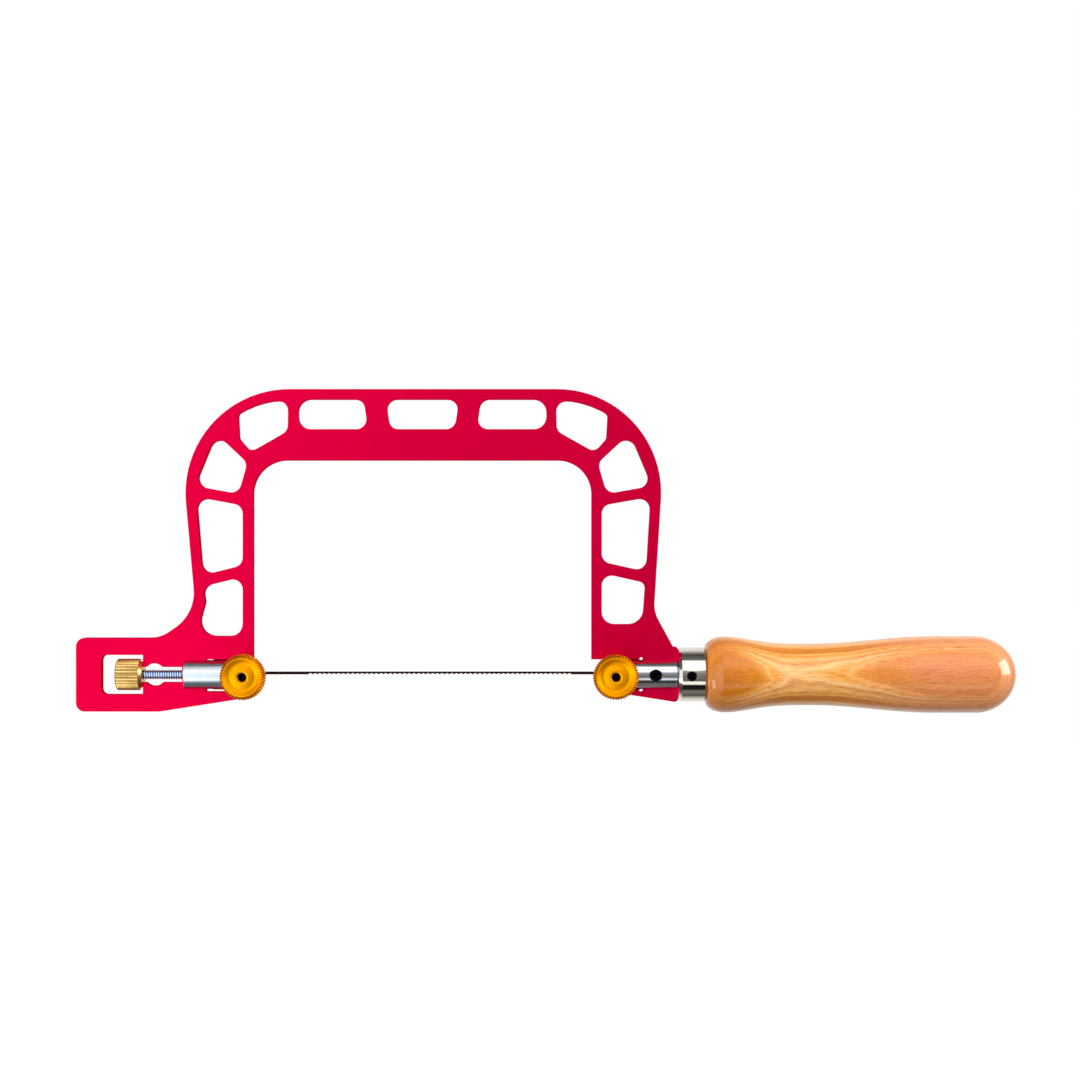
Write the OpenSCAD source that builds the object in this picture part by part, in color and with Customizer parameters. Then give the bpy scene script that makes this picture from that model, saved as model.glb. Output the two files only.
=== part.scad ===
// Fret saw with a flat plate frame, a screw-tensioned front bar and a turned handle.
// X runs along the blade towards the handle, Y from the knob side to the back and
// Z from the blade up to the spine. The origin is on the grip's axis, at its waist.

/* [Opening and arms] */
// Width of the opening between the two arms
throat_w = 114.8; // [95:0.1:150]
// Height of the opening above the blade line
throat_h = 72.7; // [60:0.1:100]
// Corner radius of the opening
throat_r = 11.4; // [8:0.1:16]
// Thickness of the frame plate
plate_t = 3.2; // [2.6:0.1:4]
// Height of the spine above the opening
spine_h = 24.2; // [20:0.1:32]
// Width of the front arm at the height of the shoulder centres
front_arm_w = 23.0; // [20:0.1:30]
// Width of the rear arm at the height of the shoulder centres
rear_arm_w = 23.7; // [20:0.1:30]
// Radius of the outer shoulders
shoulder_r = 35.3; // [28:0.1:40]
// Lean of the front arm's outer edge, in degrees
front_lean = 5.1; // [0:0.1:8]
// Lean of the rear arm's outer edge, in degrees
rear_lean = 3.6; // [0:0.1:8]

/* [Lightening windows] */
// Width of the rim between a window and the plate's outer edge
rim_w = 3.5; // [2.5:0.1:5]
// Width of the solid band between the spine's windows and the opening
spine_land = 10.6; // [7:0.1:14]
// Width of the solid band inside the shoulder windows
shoulder_land = 6.6; // [5:0.1:8]
// Corner radius of the windows
window_r = 3.4; // [1.5:0.1:4]
// Half width of the middle spine window at its top
middle_half_w = 12.5; // [8:0.1:16]
// Width of the ribs beside the middle spine window
wide_rib_w = 7.4; // [4:0.1:10]
// Width of the other ribs
rib_w = 3.9; // [3:0.1:5]
// Height of the rib between the front arm's windows, above the blade line
front_rib_z = 35.2; // [30:0.1:40]
// Height of the rib between the rear arm's windows, above the blade line
rear_rib_z = 36.4; // [30:0.1:40]
// Lower edge of the front arm's windows, above the blade line
front_window_z = 13.1; // [11:0.1:18]
// Lower edge of the rear arm's windows, above the blade line
rear_window_z = 17.1; // [14:0.1:22]

/* [Nose block] */
// Top of the nose block above the blade line
block_top = 12.5; // [10:0.1:16]
// Bottom of the nose block below the blade line
block_bottom = 12.5; // [10:0.1:16]
// Width of solid plate at the nose
nose_wall = 8.6; // [6:0.1:14]
// Length of the window that the tension knob turns in
knob_window_l = 14.1; // [12:0.1:18]
// Height of that window
knob_window_h = 13.4; // [12.4:0.1:16]
// Length of screw that shows between that window and the front bar
screw_show = 13.8; // [9:0.1:18]
// Diameter of the round hole in the screw channel
relief_d = 7.7; // [6:0.1:9]
// Corner radius of the block
block_r = 2.9; // [1:0.1:4]
// Slope of the plate's two lower edges, in degrees
belly_slope = 8.9; // [5:0.1:12]

/* [Bars and blade] */
// Diameter of the two round bars
bar_d = 10.2; // [9.5:0.1:12]
// Height of the channel that guides the front bar
channel_h = 5.2; // [4.8:0.1:6]
// Length of the front bar from its clamp's axis to its blade end
front_nose = 3.1; // [2.9:0.1:7.5]
// Length of the rear bar from its clamp's axis to its blade end
rear_nose = 4.0; // [2.9:0.1:7]
// Length of the front bar from its clamp's axis to its screw end
front_tail = 21.8; // [20:0.1:28]
// Length of the rear bar from its clamp's axis to the ferrule
rear_tail = 21.5; // [20:0.1:28]
// Depth of the round-bar slot in the front arm
front_slot_l = 16.0; // [12:0.1:17]
// Depth of the round-bar slot in the rear arm
rear_slot_l = 16.9; // [14:0.1:18]
// Distance from the front clamp's axis to the opening
front_setback = 1.75; // [0:0.05:4]
// Distance from the rear clamp's axis to the opening
rear_setback = 7.85; // [6:0.05:9]
// Height of the blade from its back to its tooth tips
blade_h = 0.95; // [0.6:0.05:1.6]
// Height of the blade's centre line above the bars' axis
blade_rise = 0.5; // [0:0.1:1]
// Thickness of the blade
blade_t = 0.4; // [0.2:0.05:0.5]
// Length of blade behind each clamp's axis
blade_end = 3.0; // [2:0.1:4]

/* [Tension screw] */
// Diameter of the tension knob
tension_knob_d = 10.7; // [9:0.1:12]
// Length of the tension knob
tension_knob_l = 8.8; // [7:0.1:11]
// Diameter of the tension screw
tension_screw_d = 3.5; // [3:0.1:4]
// Pitch of all the screw threads
thread_pitch = 0.794; // [0.5:0.001:1]
// Turns of the tension knob that tighten the blade from rest
turns_tighter = 2; // [1:0.5:3]
// Turns of the tension knob that slacken the blade from rest
turns_slacker = 4; // [2:0.5:5]

/* [Clamp knobs] */
// Diameter of each clamp knob over its knurling
knob_d = 15.4; // [12:0.1:18]
// Height of the knurled band
knob_band = 4.9; // [3:0.1:7]
// Distance from the bar's axis to the knob's face
knob_reach = 14.5; // [12:0.1:18]
// Diameter of the knob's neck
knob_neck_d = 9.4; // [7:0.1:11]
// Diameter of the clamp screws and anvil screws
clamp_screw_d = 4.1; // [3.5:0.1:4.8]
// Diameter of the round hole in the knob's face
key_hole_d = 3.0; // [2:0.1:3.4]
// Thickness of the pad that presses on the blade
pad_t = 1.0; // [0.6:0.1:1.6]

/* [Ferrule and handle] */
// Diameter of the ferrule
ferrule_d = 18.3; // [16:0.1:21]
// Length of the ferrule
ferrule_l = 9.4; // [8:0.1:12]
// Diameter of the ferrule's set screw
ferrule_screw_d = 3.1; // [2.6:0.1:4]
// Distance from the ferrule's front face to its set screw
ferrule_screw_x = 4.2; // [3.4:0.1:5]
// Diameter of the screw that holds the rear bar
bar_screw_d = 4.0; // [3:0.1:5]
// Distance from the ferrule to that screw
bar_screw_x = 7.7; // [6:0.1:9]
// Height of the plate's tang inside the handle
tang_h = 8; // [6:0.1:9]
// Length of the tang inside the handle
tang_l = 40; // [25:0.5:55]
// Distance from the handle's front face to its waist
grip_reach = 35.1; // [28:0.1:45]
// Length of the handle
grip_l = 105.2; // [90:0.1:125]
// Diameter at the front swell
grip_front_d = 25.7; // [22:0.1:32]
// Diameter at the waist
grip_waist_d = 20.8; // [18:0.1:24]
// Diameter at the rear swell
grip_rear_d = 26.0; // [22:0.1:32]
// Diameter of the handle's front face
grip_face_d = 18.6; // [16:0.1:21]
// Length of the rounded front shoulder
grip_shoulder_l = 6.5; // [3:0.1:9]
// Length of the rounded butt
grip_butt_l = 13.7; // [8:0.1:18]

/* [Hidden] */

// Clearances
slide_gap = 0.1;        // between a bar and the plate edges it slides on
low_gap = 0.65;         // below the front bar in its slot
thread_gap = 0.05;      // around each screw in its hole
face_gap = 0.05;        // between two flat faces that turn on each other
knob_lift = 0.5;        // between a bar and the clamp knob's neck
blade_gap = 0.1;        // beside the blade in a bar's slot
grip_gap = 0.02;        // beside the blade under a tightened clamp
end_gap = 0.6;          // past the end of a screw, tenon or blade
over = 1;               // how far a cut runs past the face it opens

arc_step = 11.25;       // degrees between two points of a tight corner
wide_arc_step = 4.5;    // degrees between two points of a corner over 8 mm radius
$fn = 64;

// Places along the saw, from the handle to the nose
face_x = -grip_reach;
ferrule_x = face_x - ferrule_l;
rear_clamp_x = ferrule_x - rear_tail;
throat_rear = rear_clamp_x - rear_setback;
throat_front = throat_rear - throat_w;
throat_mid = (throat_front + throat_rear) / 2;
front_clamp_x = throat_front - front_setback;
bar_front = front_clamp_x - front_tail;
window_x = bar_front - screw_show;
nose_x = window_x - knob_window_l - nose_wall;
rear_slot_end = throat_rear + rear_slot_l;
front_slot_end = throat_front - front_slot_l;

// Heights
spine_top = throat_h + spine_h;
shoulder_z = throat_h - throat_r;
bar_r = bar_d / 2;
slot_half = bar_r + slide_gap;
front_slot_low = bar_r + low_gap;
web_half = channel_h / 2 - slide_gap;
heel_step = 0.25;       // from the ferrule's radius to the plate's edge beside it
heel_z = ferrule_d / 2 + heel_step;

// Travel of the front bar
tighter = turns_tighter * thread_pitch;
slacker = turns_slacker * thread_pitch;

// Corner details
ramp_angle = 35;        // slope between the nose block and the front arm
ramp_r = 12.2;          // fillets of the plate's outer edge
knee_r = 14.3;
hock_r = 10.9;
belly_r = 12;
round_share = 1.25;     // radius of the rounder window corners, as a share of the others
shoulder_span = 34.8;   // from a shoulder's centre to the arm's edge, at which its windows are round
rib_lean = 1.5;         // sideways lean of the ribs beside the middle spine window
rib_drop = 3.4;         // fall of the arms' ribs towards the outer edge
ramp_foot = 31.4;       // from the opening to the foot of that slope
heel_slope = 28.7;      // lean of the rear arm's heel
heel_w = 1.6;           // width of the flat beside the ferrule
heel_r = 0.6;           // small roundings of the plate's outer edge
heel_top_r = 0.9;
heel_low_r = 1.2;
lip_r = 0.3;
tip_r = 0.5;
lip_l = 7;              // length of the plate's lip below the rear slot
lip_t = 1.8;            // thickness of the plate's lip below the front slot
slot_relief_d = 1.2;    // round relief in the inner corners of the rear slot
bar_chamfer = 0.5;
hole_chamfer = 0.3;     // around a screw hole's mouth
recess = 0.6;           // of a set screw below its hole's mouth
knob_bevel = 0.4;       // on the clamp knob's outer edges
knob_rim = 1.9;         // width of the flat rim around its face
dish_depth = 1.5;       // of the clamp knob's face
dish_edge = 0.9;        // width of the dish's steep edge
dish_lip = 0.7;         // width of the flat around the key hole
screw_sink = 2.2;       // from the clamp knob's face to its screw
knob_cap = 2.2;         // solid length at the tension knob's outer end
engage = 7;             // length of tension screw inside the front bar
pad_gap = 0.2;          // beside a clamp's pad in its hole
groove_spare = 0.8;     // spare length of the front bar's grooves
knob_window_r = 2;      // corner radius of the tension knob's window
grip_swell_x = 43;      // from the waist to the rear swell
neck_bias = 1.6;        // how far the grip's front curve leans towards its swell
hex_af = 2.0;           // across the flats of every hexagon socket
hex_depth = 2.0;

// ---- helpers ----

function unit(v) = v / norm(v);

// Point where a line through p at angle a meets a line through q at angle b
function crossing(p, a, q, b) =
    let (u = [cos(a), sin(a)], v = [cos(b), sin(b)])
    p + u * cross(q - p, v) / cross(u, v);

function flat(p) = [p[0], p[1]];

// Half of the inner angle at a corner
function half_angle(p, q, s) = acos(unit(flat(p) - flat(q)) * unit(flat(s) - flat(q))) / 2;

// Length of edge that a corner's rounding takes up
function reach(p, q, s) = q[2] == 0 ? 0 : q[2] / tan(half_angle(p, q, s));

// Share of two neighbouring roundings that their common edge has room for
function room(p, q, used) = used == 0 ? 1 : min(1, norm(flat(p) - flat(q)) / used);

// Points of one rounded corner q between p and s, with radius r
function corner(p, q, s, r) =
    r == 0 ? [flat(q)] :
    let (u = unit(flat(p) - flat(q)), v = unit(flat(s) - flat(q)),
         half = half_angle(p, q, s), centre = flat(q) + unit(u + v) * r / sin(half),
         start = flat(q) + u * r / tan(half) - centre,
         turn = (180 - 2 * half) * sign(cross(v, u)),
         steps = max(1, round(abs(turn) / (r > 8 ? wide_arc_step : arc_step))))
    [for (k = [0:steps]) let (a = turn * k / steps)
        centre + [start[0] * cos(a) - start[1] * sin(a), start[0] * sin(a) + start[1] * cos(a)]];

// Closed outline through corners [x, z, radius]
function rounded(c) =
    let (n = len(c), used = [for (i = [0:n - 1]) reach(c[(i + n - 1) % n], c[i], c[(i + 1) % n])])
    [for (i = [0:n - 1])
        let (h = (i + n - 1) % n, j = (i + 1) % n,
             share = min(room(c[h], c[i], used[h] + used[i]), room(c[i], c[j], used[i] + used[j])))
        each corner(c[h], c[i], c[j], c[i][2] * share * 0.999)];

// Stands an outline up in the plane of the blade
module upright(t) {
    translate([0, t / 2, 0]) rotate([90, 0, 0]) linear_extrude(t) children();
}

// Solid turned about X from points [radius, x]
module turned_x(points) {
    rotate([0, 90, 0]) rotate_extrude() polygon(points);
}

// Solid turned about Y at x from points [radius, distance towards the knob side]
module turned_y(x, points) {
    translate([x, 0, 0]) rotate([90, 0, 0]) rotate_extrude() polygon(points);
}

// Hexagon socket along X or Y is cut by this prism, which stands along Z
module hex_key() {
    cylinder(h = hex_depth + over, r = hex_af / 2 / cos(30), $fn = 6);
}

// ---- frame plate ----

module plate_outline() {
    front_arm = [throat_front - front_arm_w, shoulder_z];
    rear_arm = [throat_rear + rear_arm_w, shoulder_z];
    ramp = [throat_front - ramp_foot, block_top];
    heel = [ferrule_x - heel_w, heel_z];
    front_tip = [throat_front, -front_slot_low - lip_t];
    rear_low = [ferrule_x, -heel_z];
    lip_x = rear_slot_end - lip_l;
    knee = crossing(ramp, ramp_angle, front_arm, 90 + front_lean);
    front_top = crossing(front_arm, 90 + front_lean, [0, spine_top], 0);
    rear_top = crossing(rear_arm, 90 - rear_lean, [0, spine_top], 0);
    hock = crossing(rear_arm, 90 - rear_lean, heel, 90 + heel_slope);
    belly = crossing(front_tip, 180 + belly_slope, [0, -block_bottom], 0);
    lip = crossing(rear_low, 180 - belly_slope, [lip_x, 0], 90);
    polygon(rounded([
        [nose_x, -block_bottom, block_r],
        [nose_x, block_top, block_r],
        [ramp[0], ramp[1], ramp_r],
        [knee[0], knee[1], knee_r],
        [front_top[0], front_top[1], shoulder_r],
        [rear_top[0], rear_top[1], shoulder_r],
        [hock[0], hock[1], hock_r],
        [heel[0], heel[1], heel_r],
        [ferrule_x, heel_z, heel_top_r],
        [rear_low[0], rear_low[1], heel_low_r],
        [lip[0], lip[1], lip_r],
        [lip_x, 0, 0],
        [throat_front, 0, 0],
        [front_tip[0], front_tip[1], tip_r],
        [belly[0], belly[1], belly_r]]));
}

module throat() {
    polygon(rounded([
        [throat_front, -over, 0], [throat_rear, -over, 0],
        [throat_rear, throat_h, throat_r], [throat_front, throat_h, throat_r]]));
}

// Windows of the spine, whose ribs lean outwards on the way down
module spine_windows() {
    low = throat_h + spine_land;
    high = spine_top - rim_w;
    lean = rib_lean;
    first = middle_half_w - lean + wide_rib_w;
    last = throat_w / 2 - throat_r - rib_w;
    polygon(rounded([
        [-middle_half_w + lean, low, window_r], [middle_half_w - lean, low, window_r],
        [middle_half_w, high, window_r], [-middle_half_w, high, window_r]]));
    for (side = [-1, 1])
        polygon(rounded([
            [side * first, low, window_r], [side * last, low, window_r * round_share],
            [side * last, high, window_r * round_share],
            [side * (first + lean), high, window_r]]));
}

// Windows of one shoulder, in polar places about the shoulder's centre
module shoulder_windows(arm_w) {
    spread = (throat_r + arm_w) / shoulder_span;
    outer = shoulder_r - rim_w;
    inner = throat_r + shoulder_land;
    middle = (inner + outer) / 2;
    flat_end = 91;          // angle of the upper window's square end
    blunt_end = 49;         // angle of its blunt end
    blunt_drop = 6.1;       // how far the blunt end sinks towards the opening
    crest = 58.2;           // angle where the outer arc starts
    floor_lift = 3.4;       // flat floor above the arc inside it
    high_drop = 0.9;        // the lower window's inner corners inside that arc
    low_drop = 1.5;
    side_high = [40.3, 38];     // angles of the lower window's upper corners
    side_low = [5, 0.2];        // angles of its lower corners
    function polar(r, a, fillet) = [spread * r * cos(a), r * sin(a), fillet];
    polygon(rounded([
        polar(inner + floor_lift, flat_end, window_r),
        polar(middle - blunt_drop, blunt_end, window_r * 5 / 6),
        polar(middle, blunt_end, window_r * 2 / 3),
        polar(outer, crest, window_r / 2),
        for (a = [63:6:81]) polar(outer, a, 0),
        polar(outer, flat_end, window_r)]));
    polygon(rounded([
        polar(outer, side_high[0], window_r), polar(inner - high_drop, side_high[1], window_r),
        polar(inner - low_drop, side_low[1], window_r), polar(outer, side_low[0], window_r)]));
}

// Windows of one arm, measured outwards and upwards from the shoulder's centre
module arm_windows(arm_w, lean, rib_z, low_z) {
    inner = throat_r + rim_w;
    function outer(z) = throat_r + arm_w - rim_w / cos(lean) + z * tan(lean);
    rib = rib_z - shoulder_z;
    low = low_z - shoulder_z;
    half = rib_w / 2;
    flare_z = low + 11.5;               // where the lower window turns at its foot
    flare_r = 4;
    flare = lean > 4 ? 3.2 : -0.8;      // how far the foot reaches outwards
    polygon(rounded([
        [inner, -rib_w, window_r], [outer(-1), -1, window_r],
        [outer(rib), rib - rib_drop + half, window_r], [inner, rib + half, window_r]]));
    polygon(rounded([
        [inner, rib - half, window_r], [outer(rib), rib - rib_drop - half, window_r],
        [outer(flare_z), flare_z, flare_r], [outer(flare_z) + flare, low, window_r * 1.5],
        [inner, low, window_r * round_share]]));
}

// Slots for the bars, the tension screw and its knob
module bar_cuts() {
    translate([front_slot_end, -front_slot_low])
        square([front_slot_l + over, front_slot_low + slot_half]);
    translate([throat_rear - over, -slot_half]) square([rear_slot_l + over, 2 * slot_half]);
    for (side = [-1, 1])
        translate([rear_slot_end, side * (slot_half + slide_gap)]) circle(d = slot_relief_d);
    translate([window_x - over, -channel_h / 2])
        square([front_slot_end - window_x + 2 * over, channel_h]);
    translate([window_x + relief_d / 2, 0]) circle(d = relief_d);
    polygon(rounded([
        [window_x - knob_window_l, -knob_window_h / 2, knob_window_r], [window_x, -knob_window_h / 2, 0],
        [window_x, knob_window_h / 2, 0], [window_x - knob_window_l, knob_window_h / 2, knob_window_r]]));
    translate([ferrule_x - bar_screw_x, 0]) circle(d = bar_screw_d + 2 * thread_gap);
}

module frame_plate() {
    color("crimson") {
        upright(plate_t) difference() {
            plate_outline();
            throat();
            translate([throat_mid, 0]) spine_windows();
            translate([throat_rear - throat_r, shoulder_z]) {
                shoulder_windows(rear_arm_w);
                arm_windows(rear_arm_w, rear_lean, rear_rib_z, rear_window_z);
            }
            translate([throat_front + throat_r, shoulder_z]) mirror([1, 0]) {
                shoulder_windows(front_arm_w);
                arm_windows(front_arm_w, front_lean, front_rib_z, front_window_z);
            }
            bar_cuts();
        }
        translate([ferrule_x - over, -plate_t / 2, -tang_h / 2])
            cube([over + ferrule_l + tang_l, plate_t, tang_h]);
    }
}

// ---- bars ----

// Round bar between two places, with chamfered ends
module round_bar(from_x, to_x) {
    turned_x([[0, from_x], [bar_r - bar_chamfer, from_x], [bar_r, from_x + bar_chamfer],
              [bar_r, to_x - bar_chamfer], [bar_r - bar_chamfer, to_x], [0, to_x]]);
}

// Cross hole through a round bar, with chamfered mouths
module cross_hole(x, d) {
    r = d / 2 + thread_gap;
    for (side = [0, 1]) translate([x, 0, 0]) mirror([0, side, 0]) rotate([90, 0, 0]) {
        cylinder(h = bar_r + over, r = r);
        translate([0, 0, bar_r - hole_chamfer])
            cylinder(h = hole_chamfer + over, r1 = r, r2 = r + hole_chamfer + over);
    }
}

// Slot for the blade and cross hole for the clamp, with the blade end towards side
module clamp_cuts(x, side, nose, depth) {
    slot_w = blade_t + 2 * blade_gap;
    length = nose + depth + over;
    translate([side > 0 ? x - depth : x - nose - over, -slot_w / 2, -bar_r - over])
        cube([length, slot_w, bar_d + 2 * over]);
    cross_hole(x, clamp_screw_d);
}

module front_bar() {
    groove_l = front_slot_end - bar_front + tighter + groove_spare;
    groove_w = plate_t + 2 * slide_gap;
    bore_l = front_tail - clamp_screw_d - blade_end - slacker - 2 * end_gap;
    color("lightsteelblue") difference() {
        round_bar(bar_front, front_clamp_x + front_nose);
        for (side = [0, 1]) mirror([0, 0, side])
            translate([bar_front - over, -groove_w / 2, web_half])
                cube([groove_l + over, groove_w, bar_r]);
        translate([bar_front - over, 0, 0]) rotate([0, 90, 0])
            cylinder(h = bore_l + over, d = tension_screw_d + 2 * thread_gap);
        clamp_cuts(front_clamp_x, 1, front_nose, blade_end + slacker + end_gap);
    }
}

module rear_bar() {
    slit_w = plate_t + 2 * slide_gap;
    color("lightsteelblue") difference() {
        round_bar(rear_clamp_x - rear_nose, ferrule_x - face_gap);
        translate([rear_slot_end - slide_gap, -slit_w / 2, -bar_r - over])
            cube([ferrule_x - rear_slot_end + over, slit_w, bar_d + 2 * over]);
        cross_hole(ferrule_x - bar_screw_x, bar_screw_d);
        clamp_cuts(rear_clamp_x, -1, rear_nose, blade_end + end_gap);
    }
}

// Socket set screw through both cheeks of the rear bar and the plate between them
module rear_bar_screw() {
    color("dimgray") translate([ferrule_x - bar_screw_x, bar_r - recess, 0])
        rotate([90, 0, 0]) difference() {
            cylinder(h = bar_d - 2 * recess, d = bar_screw_d);
            translate([0, 0, bar_d - 2 * recess - hex_depth]) hex_key();
        }
}

module blade() {
    color("saddlebrown") translate([front_clamp_x - blade_end, -blade_t / 2, blade_rise - blade_h / 2])
        cube([rear_clamp_x - front_clamp_x + 2 * blade_end, blade_t, blade_h]);
}

// ---- blade clamps ----

module clamp_knob(x) {
    knob_r = knob_d / 2;
    neck_r = knob_neck_d / 2;
    screw_r = clamp_screw_d / 2;
    hole_r = key_hole_d / 2;
    bevel = knob_bevel;
    rim = knob_r - knob_rim;
    lip = hole_r + dish_lip;
    boss = lip + 0.25 * (rim - lip);
    ring = lip + 0.5 * (rim - lip);
    color("goldenrod") turned_y(x, [
        [screw_r, bar_r + knob_lift], [neck_r, bar_r + knob_lift],
        [neck_r, knob_reach - knob_band], [knob_r - bevel, knob_reach - knob_band],
        [knob_r, knob_reach - knob_band + bevel], [knob_r, knob_reach - bevel],
        [knob_r - bevel, knob_reach], [rim, knob_reach],
        [rim - dish_edge, knob_reach - 0.6 * dish_depth], [ring, knob_reach - dish_depth],
        [boss, knob_reach - 0.6 * dish_depth], [lip, knob_reach - 0.3 * dish_depth],
        [hole_r, knob_reach - 0.3 * dish_depth], [hole_r, knob_reach - screw_sink],
        [screw_r, knob_reach - screw_sink]]);
}

// Threaded stem that turns with its knob and presses on the pad
module clamp_screw(x) {
    start = blade_t / 2 + grip_gap + pad_t;
    stop = knob_reach - screw_sink;
    color("dimgray") translate([x, -start, 0]) rotate([90, 0, 0]) difference() {
        cylinder(h = stop - start, d = clamp_screw_d);
        translate([0, 0, stop - start - hex_depth]) hex_key();
    }
}

// Disc that presses on the blade and doesn't turn
module clamp_pad(x) {
    color("gray") translate([x, -blade_t / 2 - grip_gap, 0]) rotate([90, 0, 0])
        cylinder(h = pad_t, d = clamp_screw_d - 2 * pad_gap);
}

// Set screw behind the blade, which sets where the blade sits across the bar
module anvil_screw(x) {
    start = blade_t / 2 + grip_gap;
    length = bar_r - start - recess;
    color("dimgray") translate([x, start, 0]) rotate([-90, 0, 0]) difference() {
        cylinder(h = length, d = clamp_screw_d);
        translate([0, 0, length - hex_depth]) hex_key();
    }
}

module front_clamp_knob() { clamp_knob(front_clamp_x); }
module front_clamp_screw() { clamp_screw(front_clamp_x); }
module front_clamp_pad() { clamp_pad(front_clamp_x); }
module front_anvil_screw() { anvil_screw(front_clamp_x); }
module rear_clamp_knob() { clamp_knob(rear_clamp_x); }
module rear_clamp_screw() { clamp_screw(rear_clamp_x); }
module rear_clamp_pad() { clamp_pad(rear_clamp_x); }
module rear_anvil_screw() { anvil_screw(rear_clamp_x); }

// ---- tension screw ----

module tension_knob() {
    r = tension_knob_d / 2;
    right = window_x - face_gap;
    left = right - tension_knob_l;
    screw_r = tension_screw_d / 2;
    bevel = 0.6;
    bevel_l = 1.2;
    color("darkkhaki") turned_x([
        [0, left], [r - bevel, left], [r, left + bevel_l], [r, right - bevel_l],
        [r - bevel, right], [screw_r, right], [screw_r, left + knob_cap], [0, left + knob_cap]]);
}

module tension_screw() {
    from_x = window_x - face_gap - tension_knob_l + knob_cap;
    to_x = bar_front + engage;
    r = tension_screw_d / 2;
    tip = 0.5;
    color("silver") turned_x([
        [0, from_x], [r, from_x], [r, to_x - tip], [r - tip, to_x], [0, to_x]]);
}

// ---- ferrule and handle ----

tenon_l = ferrule_l - ferrule_screw_x - ferrule_screw_d / 2 - end_gap;
tenon_r = 6.5;
ferrule_bevel = 0.7;

module ferrule() {
    r = ferrule_d / 2;
    cup_r = tenon_r + thread_gap;
    hole_r = ferrule_screw_d / 2 + thread_gap;
    color("gainsboro") difference() {
        turned_x([[0, ferrule_x], [r - ferrule_bevel, ferrule_x],
                  [r, ferrule_x + 1.4 * ferrule_bevel], [r, face_x - ferrule_bevel],
                  [r - ferrule_bevel, face_x], [cup_r, face_x],
                  [cup_r, face_x - tenon_l], [0, face_x - tenon_l]]);
        translate([ferrule_x - over, -plate_t / 2 - thread_gap, -tang_h / 2 - thread_gap])
            cube([ferrule_l + 2 * over, plate_t + 2 * thread_gap, tang_h + 2 * thread_gap]);
        translate([ferrule_x + ferrule_screw_x, 0, 0]) rotate([90, 0, 0]) {
            cylinder(h = r + over, r = hole_r);
            translate([0, 0, r - hole_chamfer])
                cylinder(h = hole_chamfer + over, r1 = hole_r, r2 = hole_r + hole_chamfer + over);
        }
    }
}

// Set screw that bears on the tang's flat side
module ferrule_screw() {
    length = (ferrule_d - plate_t) / 2 - recess;
    color("dimgray") translate([ferrule_x + ferrule_screw_x, -plate_t / 2, 0])
        rotate([90, 0, 0]) difference() {
            cylinder(h = length, d = ferrule_screw_d);
            translate([0, 0, length - hex_depth]) hex_key();
        }
}

// Smooth change from 0 to 1
function ease(t) = (1 - cos(180 * t)) / 2;

// Outline of the grip as points [radius, x]
function grip_outline() =
    let (swell = grip_swell_x, butt_x = grip_l - grip_reach - grip_butt_l,
         front_x = face_x + grip_shoulder_l,
         face_r = grip_face_d / 2, front_r = grip_front_d / 2, waist_r = grip_waist_d / 2,
         rear_r = grip_rear_d / 2)
    concat(
        [for (a = [0:15:75]) [face_r + (front_r - face_r) * sin(a),
                              front_x - grip_shoulder_l * cos(a)]],
        [for (t = [1:-1 / 12:1 / 24]) [waist_r + (front_r - waist_r) * ease(pow(t, neck_bias)),
                                       front_x * t]],
        [for (t = [0:1 / 14:1]) [waist_r + (rear_r - waist_r) * ease(t), swell * t]],
        [for (a = [0:9:81]) [rear_r * cos(a), butt_x + grip_butt_l * sin(a)]],
        [[0, butt_x + grip_butt_l]]);

module handle() {
    mortise_w = plate_t + 2 * thread_gap;
    mortise_h = tang_h + 2 * thread_gap;
    depth = tenon_l + tang_l + end_gap;
    color("peru") difference() {
        turned_x(concat([[0, face_x - tenon_l], [tenon_r, face_x - tenon_l], [tenon_r, face_x]],
                        grip_outline()));
        translate([face_x - tenon_l - over, -mortise_w / 2, -mortise_h / 2])
            cube([depth + over, mortise_w, mortise_h]);
    }
}

frame_plate();
front_bar();
rear_bar();
rear_bar_screw();
blade();
tension_knob();
tension_screw();
ferrule();
ferrule_screw();
handle();
front_clamp_knob();
front_clamp_screw();
front_clamp_pad();
front_anvil_screw();
rear_clamp_knob();
rear_clamp_screw();
rear_clamp_pad();
rear_anvil_screw();
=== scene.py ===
"""Looks of the fret saw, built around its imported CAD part.

X runs along the blade towards the handle, Y from the knob side to the back and Z from the
blade up to the spine. Sizes are in millimetres and become metres as a mesh is finished.
"""

import logging
import math
from collections.abc import Sequence
from dataclasses import dataclass
from enum import Enum
from typing import Any

import bmesh
import bpy
from mathutils import Matrix, Vector


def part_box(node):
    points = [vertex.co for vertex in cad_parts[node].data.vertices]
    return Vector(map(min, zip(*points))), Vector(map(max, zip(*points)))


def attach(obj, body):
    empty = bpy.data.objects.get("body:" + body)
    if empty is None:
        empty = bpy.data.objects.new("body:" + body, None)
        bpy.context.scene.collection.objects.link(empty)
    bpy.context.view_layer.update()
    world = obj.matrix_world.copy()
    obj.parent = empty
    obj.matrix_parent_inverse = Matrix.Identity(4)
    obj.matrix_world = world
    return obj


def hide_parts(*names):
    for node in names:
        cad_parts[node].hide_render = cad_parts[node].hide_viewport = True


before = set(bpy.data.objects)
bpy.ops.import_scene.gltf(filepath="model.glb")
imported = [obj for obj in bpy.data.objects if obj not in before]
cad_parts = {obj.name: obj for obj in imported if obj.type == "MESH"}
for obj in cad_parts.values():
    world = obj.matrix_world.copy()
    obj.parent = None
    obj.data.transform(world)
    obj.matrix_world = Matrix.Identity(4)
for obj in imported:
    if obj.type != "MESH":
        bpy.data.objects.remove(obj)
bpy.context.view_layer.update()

log = logging.getLogger("fret_saw")
MM = 0.001
# Size of the faint stains on turned metal, in millimetres.
STAIN_MM = 3.0
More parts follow.
